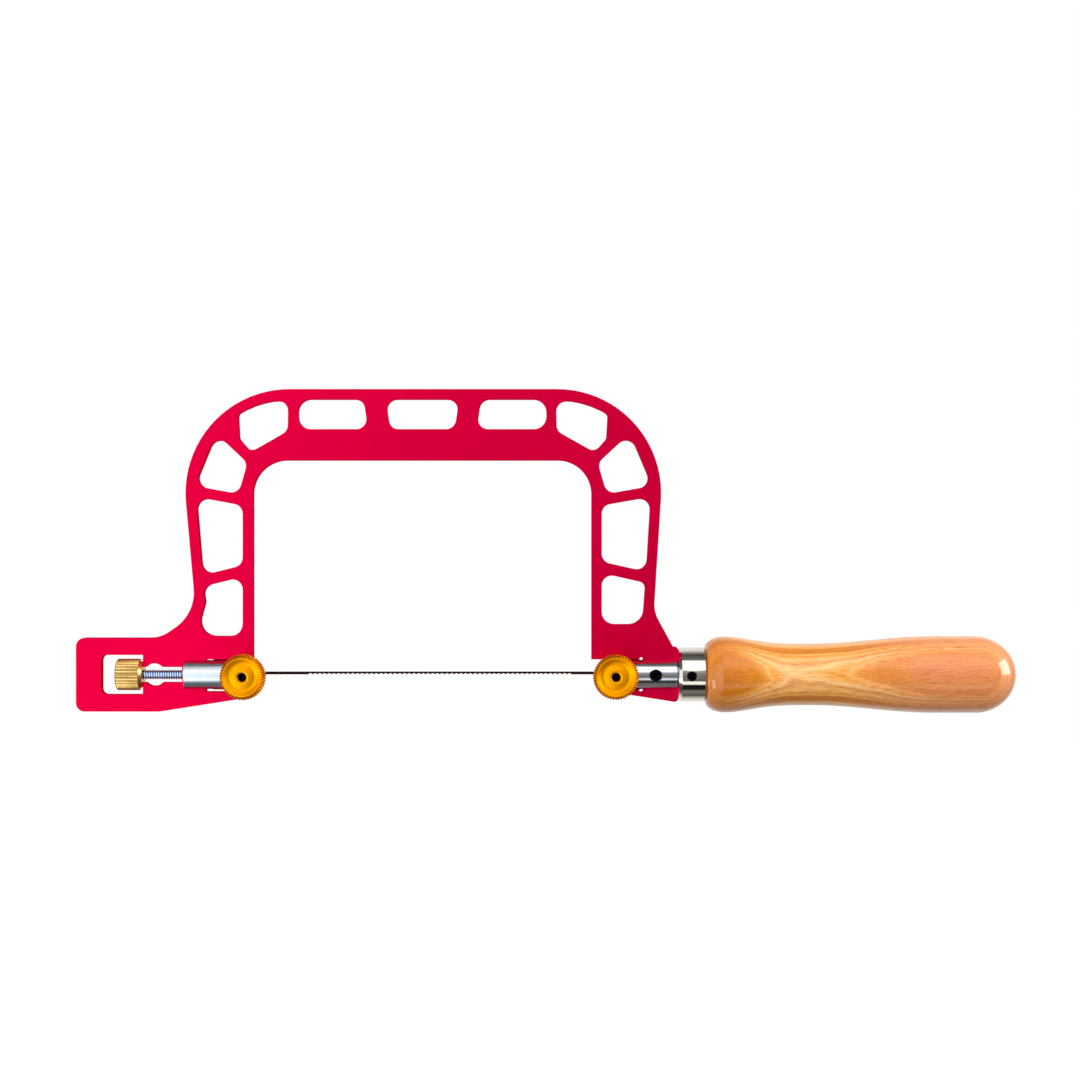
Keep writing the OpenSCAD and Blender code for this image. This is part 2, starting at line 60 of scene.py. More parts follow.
# Small step past an edge, in millimetres, so that grooves take in the points on it.
SLACK = 0.01
ENDS = ("front", "rear")
Point = tuple[float, float]
# Place from 0 to 1 on a colour ramp, with its colour as sRGB hex or linear RGBA.
Stop = tuple[float, str | tuple[float, ...]]


class Axis(Enum):
    """Axis that a piece is turned about."""

    ALONG = Vector((1, 0, 0))
    TO_KNOB = Vector((0, -1, 0))

    def frame(self) -> tuple[Vector, Vector, Vector]:
        """Gives the axis and the two directions across it.

        Returns:
            Unit vectors along the axis, up from it and to its side.
        """
        along = self.value
        up = Vector((0, 0, 1))
        return along, up, along.cross(up)


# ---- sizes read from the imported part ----


def span(node: str) -> tuple[Vector, Vector]:
    """Gives a CAD node's box.

    Args:
        node: Name of the CAD node.

    Returns:
        Its lowest and highest corner in millimetres.
    """
    low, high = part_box(node)
    return Vector(low) / MM, Vector(high) / MM


# ---- mesh helpers ----


def lathe(profile: Sequence[Point], axis: Axis, centre: Vector, steps: int) -> bmesh.types.BMesh:
    """Turns a profile round an axis.

    Args:
        profile: Points (radius, distance along the axis) from one end of the surface to the other.
        axis: Axis of the piece.
        centre: Place that distances along the axis start from.
        steps: Number of steps in a full turn.

    Returns:
        The turned surface, closed where the profile reaches the axis or meets itself.
    """
    mesh = bmesh.new()
    along, up, _ = axis.frame()
    verts = [mesh.verts.new(centre + up * r + along * t) for r, t in profile]
    edges = [mesh.edges.new(pair) for pair in zip(verts, verts[1:])]
    bmesh.ops.spin(mesh, geom=verts + edges, cent=centre, axis=along, angle=math.tau,
                   steps=steps, use_merge=True)
    bmesh.ops.remove_doubles(mesh, verts=mesh.verts, dist=1e-4)
    bmesh.ops.recalc_face_normals(mesh, faces=mesh.faces)
    return mesh


def flute(mesh: bmesh.types.BMesh, axis: Axis, centre: Vector, count: int, depth: float,
          root: float, span_along: Point) -> None:
    """Sinks straight grooves into a turned band.

    Args:
        mesh: Turned piece whose steps are a multiple of twice the count.
        axis: Axis of the piece.
        centre: Any place on that axis.
        count: Number of grooves round the band.
        depth: Depth of a groove.
        root: Radius inside which nothing moves.
        span_along: Distances along the axis between which the grooves lie.
    """
    along, up, side = axis.frame()
    for vert in mesh.verts:
        place = vert.co - centre
        t, a, b = place.dot(along), place.dot(up), place.dot(side)
        radius = math.hypot(a, b)
        if radius > root and span_along[0] <= t <= span_along[1]:
            turn = math.atan2(b, a) / math.tau * count % 1.0
            sink = depth * (1 - abs(2 * turn - 1)) * min(1, (radius - root) / depth)
            vert.co -= (up * a + side * b) / radius * sink


def eased(start: float, stop: float, t: float) -> float:
    """Goes smoothly from start to stop as t goes from 0 to 1.

    Args:
        start: Value at 0.
        stop: Value at 1.
        t: Place between them.

    Returns:
        The value at t.
    """
    return start + (stop - start) * (1 - math.cos(math.pi * t)) / 2


def rounded_profile(corners: Sequence[tuple[float, float, float]], steps: int = 4) -> list[Point]:
    """Rounds the corners of a lathe profile.

    Args:
        corners: Corners (radius, along, rounding). A rounding of 0 leaves the corner sharp.
        steps: Number of steps in each rounding.

    Returns:
        The profile's points.
    """
    points: list[Point] = []
    for i, (r, t, size) in enumerate(corners):
        here = Vector((r, t))
        if size == 0 or i in (0, len(corners) - 1):
            points.append((r, t))
            continue
        back = Vector(corners[i - 1][:2]) - here
        ahead = Vector(corners[i + 1][:2]) - here
        a = here + back.normalized() * min(size, back.length * 0.49)
        b = here + ahead.normalized() * min(size, ahead.length * 0.49)
        for k in range(steps + 1):
            s = k / steps
            p = a * (1 - s) ** 2 + here * (2 * s * (1 - s)) + b * s ** 2
            points.append((p.x, p.y))
    return points


def piece(name: str, mesh: bmesh.types.BMesh, material: bpy.types.Material, nodes: Sequence[str],
          body: str, sharp: float = 35.0) -> bpy.types.Object:
    """Makes a finished object from a mesh in millimetres and ties it to the frame.

    Args:
        name: Name of the piece.
        mesh: Its shape, which is freed.
        material: Its finish.
        nodes: CAD nodes that it stands for.
        body: Body that it moves with.
        sharp: Angle in degrees over which an edge stays sharp.

    Returns:
        The new object.
    """
    bmesh.ops.scale(mesh, vec=(MM, MM, MM), verts=mesh.verts)
    data = bpy.data.meshes.new(name)
    mesh.to_mesh(data)
    mesh.free()
    data.shade_smooth()
    data.set_sharp_from_angle(angle=math.radians(sharp))
    data.materials.append(material)
    made = bpy.data.objects.new(name, data)
    bpy.context.collection.objects.link(made)
    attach(made, body)
    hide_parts(*nodes)
    log.info("%s: %d faces for %s", name, len(data.polygons), ", ".join(nodes))
    return made


# ---- material helpers ----


def linear(code: str) -> tuple[float, float, float, float]:
    """Turns an sRGB hex colour into linear RGBA.

    Args:
        code: Colour as # and six hex digits.

    Returns:
        The colour that Blender's sockets take.
    """
    parts = [int(code[i:i + 2], 16) / 255 for i in (1, 3, 5)]
    r, g, b = (p / 12.92 if p <= 0.04045 else ((p + 0.055) / 1.055) ** 2.4 for p in parts)
    return r, g, b, 1.0


def add_node(tree: bpy.types.NodeTree, kind: str, inputs: dict[Any, Any] | None = None,
             stops: Sequence[Stop] = (), **settings: Any) -> bpy.types.Node:
    """Adds a node with its settings, values and links.

    Args:
        tree: Node tree that it goes into.
        kind: Blender's name of the node type.
        inputs: Value, or socket to link from, of each input by name or number.
        stops: Stops of a colour ramp.
        **settings: Properties of the node.

    Returns:
        The new node.
    """
    node = tree.nodes.new(kind)
    for key, value in settings.items():
        setattr(node, key, value)
    for key, value in (inputs or {}).items():
        if isinstance(value, bpy.types.NodeSocket):
            tree.links.new(value, node.inputs[key])
        else:
            node.inputs[key].default_value = value
    if stops:
        band = node.color_ramp.elements
        while len(band) < len(stops):
            band.new(0.5)
        for element, (place, code) in zip(band, stops):
            element.position = place
            element.color = linear(code) if isinstance(code, str) else code
    return node


def start_material(name: str, **values: Any) -> tuple[bpy.types.Material, bpy.types.NodeTree,
                                                      bpy.types.Node]:
    """Makes a material with one Principled shader.

    Args:
        name: Name of the material.
        **values: Values of the shader's inputs, with _ for each space.

    Returns:
        The material, its node tree and its shader.
    """
    material = bpy.data.materials.new(name)
    material.use_nodes = True
    tree = material.node_tree
    shader = tree.nodes["Principled BSDF"]
    for key, value in values.items():
        shader.inputs[key.replace("_", " ")].default_value = value
    return material, tree, shader


def own_place(tree: bpy.types.NodeTree, scale: Sequence[float] = (1, 1, 1),
              centre_mm: Sequence[float] = (0, 0, 0)) -> bpy.types.NodeSocket:
    """Gives the place on the piece, centred and scaled.

    Args:
        tree: Node tree of the material.
        scale: Scale along each axis. A scale of 0 leaves the axis out.
        centre_mm: Place in millimetres that becomes the pattern's centre.

    Returns:
        The vector socket.
    """
    place = add_node(tree, "ShaderNodeTexCoord").outputs["Object"]
    shift = tuple(-at * MM * by for at, by in zip(centre_mm, scale))
    return add_node(tree, "ShaderNodeMapping", {"Vector": place, "Location": shift,
                                                "Scale": tuple(scale)}).outputs["Vector"]


def turned(tree: bpy.types.NodeTree, place: bpy.types.NodeSocket, where: bpy.types.NodeSocket,
           ring_mm: float, tones: tuple[str, str]) -> tuple[bpy.types.NodeSocket, bpy.types.NodeSocket]:
    """Makes the pattern of turned metal: rings with faint stains over them.

    Args:
        tree: Node tree of the material.
        place: Place on the piece.
        where: Distance that the rings are spaced along.
        ring_mm: Spacing of the rings in millimetres.
        tones: Darker and lighter sRGB hex colour of the metal.

    Returns:
        The colour socket, and the socket of the rings' height from 0 to 1.
    """
    rings = add_node(tree, "ShaderNodeTexNoise", {"W": where, "Scale": 1 / (ring_mm * MM),
                                                  "Detail": 3.0}, noise_dimensions="1D").outputs["Fac"]
    stain = add_node(tree, "ShaderNodeTexNoise", {"Vector": place, "Scale": 1 / (STAIN_MM * MM),
                                                  "Detail": 4.0})
    both = add_node(tree, "ShaderNodeMix", {"Factor": 0.5, "A": rings, "B": stain.outputs["Fac"]})
    colour = add_node(tree, "ShaderNodeValToRGB", {"Fac": both.outputs["Result"]},
                      [(0.35, tones[0]), (0.65, tones[1])])
    return colour.outputs["Color"], rings


def dress(tree: bpy.types.NodeTree, shader: bpy.types.Node, colour: bpy.types.NodeSocket,
          relief: bpy.types.NodeSocket, relief_mm: float, strength: float = 1.0) -> None:
    """Gives a shader its colour and its fine relief.

    Args:
        tree: Node tree of the material.
        shader: Its shader.
        colour: Socket of the colour.
        relief: Socket that goes from 0 to 1 over the relief's height.
        relief_mm: Height of the relief in millimetres.
        strength: Share of the relief that shows.
    """
    bump = add_node(tree, "ShaderNodeBump", {"Height": relief, "Strength": strength,
                                             "Distance": relief_mm * MM})
    tree.links.new(colour, shader.inputs["Base Color"])
    tree.links.new(bump.outputs["Normal"], shader.inputs["Normal"])


# ---- finishes ----


@dataclass(frozen=True)
class AnodisedPlate:
    """Dyed anodising on bead-blasted aluminium plate: an even, saturated satin metal."""

    name: str = "red anodised aluminium"
    colour: str = "#F00041"
    shade: str = "#E6003D"
    edge_tint: str = "#A8006E"
    grit_mm: float = 0.35
    cloud_mm: float = 45.0
    roughness: float = 0.45
    relief_mm: float = 0.012

    def material(self) -> bpy.types.Material:
        """Makes the finish. The blasting is drawn coarser than its real 0.1 mm so that it shows.

        Returns:
            The material.
        """
        made, tree, shader = start_material(self.name, Metallic=1.0, Roughness=self.roughness,
                                            Specular_Tint=linear(self.edge_tint))
        place = own_place(tree)
        cloud = add_node(tree, "ShaderNodeTexNoise", {"Vector": place, "Scale": 1 / (self.cloud_mm * MM),
                                                      "Detail": 3.0})
        dye = add_node(tree, "ShaderNodeValToRGB", {"Fac": cloud.outputs["Fac"]},
                       [(0.35, self.shade), (0.65, self.colour)])
        grit = add_node(tree, "ShaderNodeTexNoise", {"Vector": place, "Scale": 1 / (self.grit_mm * MM),
                                                     "Detail": 2.0})
        dress(tree, shader, dye.outputs["Color"], grit.outputs["Fac"], self.relief_mm, 0.5)
        return made


@dataclass(frozen=True)
class TurnedMetal:
    """Lathe-turned metal: fine rings across X that break up each reflection."""

    name: str
    colour: str
    shade: str
    ring_mm: float
    roughness: float
    relief_mm: float = 0.004

    def material(self) -> bpy.types.Material:
        """Makes the finish. Rings are drawn at their spacing, or coarser where too fine to show.

        Returns:
            The material.
        """
        made, tree, shader = start_material(self.name, Metallic=1.0, Roughness=self.roughness)
        place = own_place(tree)
        along = add_node(tree, "ShaderNodeSeparateXYZ", {0: place}).outputs["X"]
        colour, rings = turned(tree, place, along, self.ring_mm, (self.shade, self.colour))
        dress(tree, shader, colour, rings, self.relief_mm)
        return made


@dataclass(frozen=True)
class AnodisedKnob:
    """Gold-dyed turned aluminium, browner over the knurling: painted shade between the teeth, with some
    dirt.
    """

    end: str
    centre_x: float
    colour: str = "#FFB000"
    shade: str = "#FFA200"
    # Brown over the knurled band: painted shade between the teeth, with some dirt.
    knurl_shade_and_dirt: str = "#E28E12"
    edge_tint: str = "#FFB040"
    face_r: float = 6.3
    knurl_r: float = 6.8
    roughness: float = 0.54
    ring_mm: float = 0.25
    relief_mm: float = 0.004

    def material(self) -> bpy.types.Material:
        """Makes the finish, with its turning rings round the knob's own axis.

        Returns:
            The material.
        """
        made, tree, shader = start_material(f"gold anodised aluminium, {self.end}", Metallic=1.0,
                                            Roughness=self.roughness,
                                            Specular_Tint=linear(self.edge_tint))
        centre = (self.centre_x, 0, 0)
        radius = add_node(tree, "ShaderNodeVectorMath", {0: own_place(tree, (1, 0, 1), centre)},
                          operation="LENGTH").outputs["Value"]
        gold, rings = turned(tree, own_place(tree, centre_mm=centre), radius, self.ring_mm,
                             (self.shade, self.colour))
        # From face_r out to knurl_r the gold turns to the knurling's brown of painted shade and dirt.
        outward = add_node(tree, "ShaderNodeMapRange", {"Value": radius, "From Min": self.face_r * MM,
                                                        "From Max": self.knurl_r * MM})
        toned = add_node(tree, "ShaderNodeMix", {"Factor": outward.outputs["Result"], 6: gold,
                                                 7: linear(self.knurl_shade_and_dirt)}, data_type="RGBA")
        dress(tree, shader, toned.outputs[2], rings, self.relief_mm)
        return made


@dataclass(frozen=True)
class PlainMetal:
    """Plated, oiled or blued metal with a faint mottle and a finely uneven surface."""

    name: str
    colour: str
    shade: str
    roughness: float
    mottle_mm: float
    stretch: float = 1.0
    relief_mm: float = 0.003

    def material(self) -> bpy.types.Material:
        """Makes the finish. Stretch draws the mottle out along X, as rolling or brushing does.

        Returns:
            The material.
        """
        made, tree, shader = start_material(self.name, Metallic=1.0, Roughness=self.roughness)
        mottle = add_node(tree, "ShaderNodeTexNoise", {
            "Vector": own_place(tree, (1 / self.stretch, 1, 1)), "Scale": 1 / (self.mottle_mm * MM),
            "Detail": 4.0}).outputs["Fac"]
        colour = add_node(tree, "ShaderNodeValToRGB", {"Fac": mottle},
                          [(0.35, self.shade), (0.65, self.colour)])
        dress(tree, shader, colour.outputs["Color"], mottle, self.relief_mm)
        return made


@dataclass(frozen=True)
class ThreadedSteel:
    """Bright zinc-plated thread, with painted shade darkening its roots."""

    name: str = "zinc-plated thread"
    crest: str = "#F2F7FF"
    # Colour at the roots: painted shade, darker and bluer than the crests.
    root: str = "#7389C2"
    crest_r: float = 1.75
    root_r: float = 1.35
    roughness: float = 0.2
    grain_mm: float = 0.3
    relief_mm: float = 0.004

    def material(self) -> bpy.types.Material:
        """Makes the finish, with painted shade that darkens it from the crests to the roots.

        Returns:
            The material.
        """
        made, tree, shader = start_material(self.name, Metallic=1.0, Roughness=self.roughness)
        radius = add_node(tree, "ShaderNodeVectorMath", {0: own_place(tree, (0, 1, 1))},
                          operation="LENGTH")
        height = add_node(tree, "ShaderNodeMapRange", {"Value": radius.outputs["Value"],
                                                       "From Min": self.root_r * MM,
                                                       "From Max": self.crest_r * MM})
        # Painted shade: the colour runs from the root colour at the roots to the crest colour at the
        # crests.
        colour = add_node(tree, "ShaderNodeValToRGB", {"Fac": height.outputs["Result"]},
                          [(0.1, self.root), (0.95, self.crest)])
        grain = add_node(tree, "ShaderNodeTexNoise", {"Vector": own_place(tree),
                                                      "Scale": 1 / (self.grain_mm * MM)})
        dress(tree, shader, colour.outputs["Color"], grain.outputs["Fac"], self.relief_mm)
        return made


@dataclass(frozen=True)
class LacqueredWood:
    """Close-grained fruitwood under clear gloss lacquer: warm growth layers, fine pores, wet sheen."""

    name: str = "lacquered fruitwood"
    layers: tuple[tuple[float, str], ...] = (
        (0.0, "#EC9C40"), (0.04, "#F6B264"), (0.09, "#E0903A"), (0.2, "#D07C1C"), (0.3, "#D88428"),
        (0.36, "#D07E2C"), (0.42, "#C87838"), (0.47, "#DC8C40"), (0.54, "#F4AE5C"), (0.6, "#E49640"),
        (0.72, "#F8B46C"), (0.78, "#F0A860"), (0.83, "#DA9044"), (0.9, "#FAC080"), (0.95, "#F2AE60"),
        (1.0, "#EC9C40"))
    # Tones laid over the layers along X: colour, start and end in millimetres, and full share.
    overtones: tuple[tuple[str, float, float, float], ...] = (
        ("#E68E68", 5.0, 45.0, 0.5), ("#BE6604", -15.0, -32.0, 0.65))
    layer_mm: float = 5.2
    pith_mm: tuple[float, float, float] = (0.0, 55.9, -3.0)
    tilt: tuple[float, float] = (0.006, 0.03)
    wander_mm: float = 9.0
    wander_stretch: float = 0.3
    wander_share: float = 0.35
    pore: str = "#9C5010"
    pore_from: float = 0.45
    pore_to: float = 0.7
    pore_share: float = 0.6
    fibre_mm: float = 0.3
    fibre_stretch: float = 0.07
    relief_mm: float = 0.006

    def growth(self, tree: bpy.types.NodeTree) -> bpy.types.NodeSocket:
        """Gives the place within a pair of growth layers, from 0 to 1.

        Layers lie round a pith far behind the grip, so the swells cut them into long ovals.

        Args:
            tree: Node tree of the material.

        Returns:
            The socket.
        """
        parts = add_node(tree, "ShaderNodeSeparateXYZ", {0: own_place(tree, centre_mm=self.pith_mm)})

        def leaned(across: str, slope: float) -> bpy.types.NodeSocket:
            """Shifts one direction in step with X.

            Args:
                across: Name of the direction.
                slope: Shift for each unit along X.

            Returns:
                The shifted direction's socket.
            """
            return add_node(tree, "ShaderNodeMath", {0: parts.outputs["X"], 1: slope,
                                                     2: parts.outputs[across]},
                            operation="MULTIPLY_ADD").outputs[0]

        across = add_node(tree, "ShaderNodeCombineXYZ", {"Y": leaned("Y", self.tilt[0]),
                                                         "Z": leaned("Z", self.tilt[1])})
        radius = add_node(tree, "ShaderNodeVectorMath", {0: across.outputs[0]}, operation="LENGTH")
        count = add_node(tree, "ShaderNodeMath", {0: radius.outputs["Value"],
                                                  1: 1 / (self.layer_mm * MM)}, operation="MULTIPLY")
        wander = add_node(tree, "ShaderNodeTexNoise", {
            "Vector": own_place(tree, (self.wander_stretch, 1, 1)),
            "Scale": 1 / (self.wander_mm * MM), "Detail": 2.0})
        bent = add_node(tree, "ShaderNodeMath", {0: wander.outputs["Fac"], 1: self.wander_share,
                                                 2: count.outputs[0]}, operation="MULTIPLY_ADD")
        return add_node(tree, "ShaderNodeMath", {0: bent.outputs[0]}, operation="FRACT").outputs[0]

    def material(self) -> bpy.types.Material:
        """Makes the finish. Pores are drawn coarser than their real 0.05 mm so that they show.

        Returns:
            The material.
        """
        made, tree, shader = start_material(self.name, Roughness=0.38, IOR=1.5, Coat_Weight=0.8,
                                            Specular_IOR_Level=0.1, Coat_Roughness=0.05, Coat_IOR=1.5)
        fibre = add_node(tree, "ShaderNodeTexNoise", {
            "Vector": own_place(tree, (self.fibre_stretch, 1, 1)), "Scale": 1 / (self.fibre_mm * MM),
            "Detail": 3.0, "Roughness": 0.65}).outputs["Fac"]
        along = add_node(tree, "ShaderNodeSeparateXYZ", {0: own_place(tree)}).outputs["X"]
        toned = add_node(tree, "ShaderNodeValToRGB", {"Fac": self.growth(tree)},
                         self.layers).outputs["Color"]
        for tone, near, far, most in self.overtones:
            share = add_node(tree, "ShaderNodeMapRange", {"Value": along, "From Min": near * MM,
                                                          "From Max": far * MM, "To Max": most},
                             interpolation_type="SMOOTHSTEP")
            toned = add_node(tree, "ShaderNodeMix", {"Factor": share.outputs["Result"], 6: toned,
                                                     7: linear(tone)}, data_type="RGBA").outputs[2]
        pores = add_node(tree, "ShaderNodeMapRange", {"Value": fibre, "From Min": self.pore_from,
                                                      "From Max": self.pore_to,
                                                      "To Max": self.pore_share})
        grained = add_node(tree, "ShaderNodeMix", {"Factor": pores.outputs["Result"], 6: toned,
                                                   7: linear(self.pore)}, data_type="RGBA")
        dress(tree, shader, grained.outputs[2], fibre, self.relief_mm, 0.5)
        return made


@dataclass(frozen=True)
class Finishes:
    """All the finishes of the saw."""

    plate: AnodisedPlate = AnodisedPlate()
    bar: TurnedMetal = TurnedMetal("turned aluminium", "#E4E8F0", "#D2D8E4", 0.3, 0.2)
    brass: TurnedMetal = TurnedMetal("machined brass", "#FAD088", "#EAB864", 0.4, 0.34)
    nickel: PlainMetal = PlainMetal("polished nickel plate", "#EEE9E0", "#E2DBD0", 0.07, 4.0)
    zinc: PlainMetal = PlainMetal("bright zinc plate", "#B4C8EA", "#8EA2C8", 0.22, 0.8)
    thread: ThreadedSteel = ThreadedSteel()
    black: PlainMetal = PlainMetal("black oxide steel", "#1B1B1F", "#101013", 0.42, 0.6)
    blade: PlainMetal = PlainMetal("blued spring steel", "#3A211C", "#22120F", 0.38, 0.4, stretch=20)
    wood: LacqueredWood = LacqueredWood()


# ---- sub-assemblies ----


@dataclass
class FramePlate:
    """Flat plate frame with lightening windows, cut from 3.2 mm sheet and edge-broken."""

    finishes: Finishes
    edge: float = 0.25
    edge_steps: int = 3
    edge_angle: float = 40.0
    flat_angle: float = 1.0

    def build(self) -> None:
        """Copies the CAD plate, merges its triangles and breaks its sharp edges."""
        mesh = bmesh.new()
        mesh.from_mesh(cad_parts["frame_plate"].data)
        bmesh.ops.scale(mesh, vec=(1 / MM,) * 3, verts=mesh.verts)
        bmesh.ops.remove_doubles(mesh, verts=mesh.verts, dist=1e-3)
        bmesh.ops.dissolve_limit(mesh, angle_limit=math.radians(self.flat_angle), verts=mesh.verts,
                                 edges=mesh.edges, delimit={"NORMAL"})
        plate = piece("plate_frame", mesh, self.finishes.plate.material(), ["frame_plate"], "frame",
                      sharp=30)
        edge = plate.modifiers.new("broken edges", "BEVEL")
        edge.width = self.edge * MM
        edge.segments = self.edge_steps
        edge.limit_method = "ANGLE"
        edge.angle_limit = math.radians(self.edge_angle)
        edge.loop_slide = False
        edge.harden_normals = True


@dataclass
class ClampKnob:
    """Knurled, dished thumb knob of one blade clamp. Heights are measured down from its face."""

    finishes: Finishes
    end: str
    teeth: int = 50
    steps_per_tooth: int = 6
    tooth_depth: float = 0.6
    neck_r: float = 4.7
    band_h: float = 4.9
    foot_w: float = 0.9
    foot_h: float = 0.45
    bevel_w: float = 1.15
    bevel_h: float = 1.1
    bevel_top: float = 0.1
    rim_w: float = 1.45
    dish_w: float = 1.7
    dish_h: float = 1.15
    hub_r: float = 3.3
    hub_h: float = 0.75
    lip_r: float = 2.1
    lip_h: float = 0.5
    hole_r: float = 1.5
    hole_h: float = 2.2
    bore_r: float = 2.05

    def profile(self, low: float, high: float, outer: float) -> list[Point]:
        """Gives the knob's profile.

        Args:
            low: Distance of the neck's end from the bar's axis.
            high: Distance of the face.
            outer: Radius over the knurling.

        Returns:
            Profile points from the bore round the outside and back to the bore.
        """
        base = high - self.band_h
        rim = outer - self.rim_w
        return rounded_profile([
            (self.bore_r, low, 0), (self.neck_r, low, 0.2), (self.neck_r, base, 0.4),
            (outer - self.foot_w, base, 0.1), (outer, base + self.foot_h, 0.12),
            (outer, high - self.bevel_h, 0.15), (outer - self.bevel_w, high - self.bevel_top, 0.15),
            (rim, high, 0.4), (rim - self.dish_w, high - self.dish_h, 1.1),
            (self.hub_r, high - self.hub_h, 0.9), (self.lip_r, high - self.lip_h, 0.4),
            (self.hole_r, high - self.hub_h, 0.2), (self.hole_r, high - self.hole_h, 0),
            (self.bore_r, high - self.hole_h, 0), (self.bore_r, low, 0)])

    def build(self) -> None:
        """Turns the knob and cuts its knurling."""
        node = f"{self.end}_clamp_knob"
        low, high = span(node)
        centre = Vector(((low.x + high.x) / 2, 0, 0))
        outer, face, neck_end = (high.x - low.x) / 2, -low.y, -high.y
        mesh = lathe(self.profile(neck_end, face, outer), Axis.TO_KNOB, centre,
                     self.teeth * self.steps_per_tooth)
        flute(mesh, Axis.TO_KNOB, centre, self.teeth, self.tooth_depth, outer - self.bevel_w - SLACK,
              (face - self.band_h, face))
        gold = AnodisedKnob(self.end, centre.x)
        piece(f"{self.end}_thumb_knob", mesh, gold.material(), [node], f"{self.end}_knob",
              sharp=28)


@dataclass
class TensionScrew:
    """Fluted brass knob on the threaded rod that pulls the front bar.

    The knob's edges are measured inwards from its outer radius, and its heights from its own ends.
    """

    finishes: Finishes
    flutes: int = 30
    steps_per_flute: int = 6
    flute_depth: float = 0.3
    flute_start: float = 0.3
    chamfer: float = 0.35
    lip_edge: float = 1.3
    recess_edge: float = 1.6
    recess_h: float = 0.25
    cone_edge: float = 1.3
    cone_l: float = 1.05
    step_h: float = 0.32
    socket_r: float = 1.8
    socket_l: float = 6.5
    pitch: float = 0.794
    steps_per_turn: int = 32
    lead_in: float = 0.4
    plain_l: float = 1.0
    tip_drop: float = 0.1
    # One turn of the thread: height from root to crest and place along the pitch, both as shares.
    thread: tuple[Point, ...] = ((0, 0.0), (0, 0.2), (1, 0.38), (1, 0.62), (0, 0.8), (0, 1.0))

    def build_knob(self) -> None:
        """Turns the knob and mills its flutes."""
        low, high = span("tension_knob")
        outer = (high.z - low.z) / 2
        left, right = low.x, high.x
        recess, band_end, socket_end = left + self.recess_h, right - self.cone_l, right - self.socket_l
        profile = rounded_profile([
            (0, recess, 0), (outer - self.recess_edge, recess, 0.2), (outer - self.lip_edge, left, 0.1),
            (outer - self.chamfer, left, 0.1), (outer, left + self.chamfer, 0.1),
            (outer, band_end, 0.08), (outer - self.step_h, band_end, 0.03),
            (outer - self.cone_edge, right, 0.1), (self.socket_r, right, 0),
            (self.socket_r, socket_end, 0), (0, socket_end, 0)])
        centre = Vector((0, 0, 0))
        mesh = lathe(profile, Axis.ALONG, centre, self.flutes * self.steps_per_flute)
        flute(mesh, Axis.ALONG, centre, self.flutes, self.flute_depth, outer - self.step_h - 2 * SLACK,
              (left + self.flute_start, band_end + 2 * SLACK))
        piece("fluted_knob", mesh, self.finishes.brass.material(), ["tension_knob"], "tension",
              sharp=28)

    def build_rod(self) -> None:
        """Winds one thread profile along the rod, then closes both ends."""
        low, high = span("tension_screw")
        crest = (high.z - low.z) / 2
        root = crest - 0.5 * self.pitch
        turns = int((high.x - low.x - self.plain_l) / self.pitch) - 1
        mesh = bmesh.new()
        start = low.x + self.lead_in
        verts = [mesh.verts.new((start + t * self.pitch, 0, root + h * (crest - root)))
                 for h, t in self.thread]
        edges = [mesh.edges.new(pair) for pair in zip(verts, verts[1:])]
        bmesh.ops.spin(mesh, geom=verts + edges, cent=(0, 0, 0), axis=(1, 0, 0),
                       dvec=(self.pitch / self.steps_per_turn, 0, 0), angle=math.tau * turns,
                       steps=self.steps_per_turn * turns)
        bmesh.ops.remove_doubles(mesh, verts=mesh.verts, dist=1e-3)
        rims = [edge for edge in mesh.edges if edge.is_boundary]
        middle = (low.x + high.x) / 2
        for end, way in ((low.x, -1), (high.x, 1)):
            grown = bmesh.ops.extrude_edge_only(
                mesh, edges=[e for e in rims if way * (e.verts[0].co.x - middle) > 0])
            cap = [v for v in grown["geom"] if isinstance(v, bmesh.types.BMVert)]
            for vert in cap:
                across = Vector((0, vert.co.y, vert.co.z)).normalized() * (root - self.tip_drop)
                vert.co = Vector((end, across.y, across.z))
            bmesh.ops.remove_doubles(mesh, verts=cap, dist=1e-3)
        bmesh.ops.holes_fill(mesh, edges=[e for e in mesh.edges if e.is_boundary], sides=0)
        bmesh.ops.recalc_face_normals(mesh, faces=mesh.faces)
        piece("threaded_rod", mesh, self.finishes.thread.material(), ["tension_screw"], "tension",
              sharp=30)

    def build(self) -> None:
        """Builds the knob and the rod."""
        self.build_knob()
        self.build_rod()


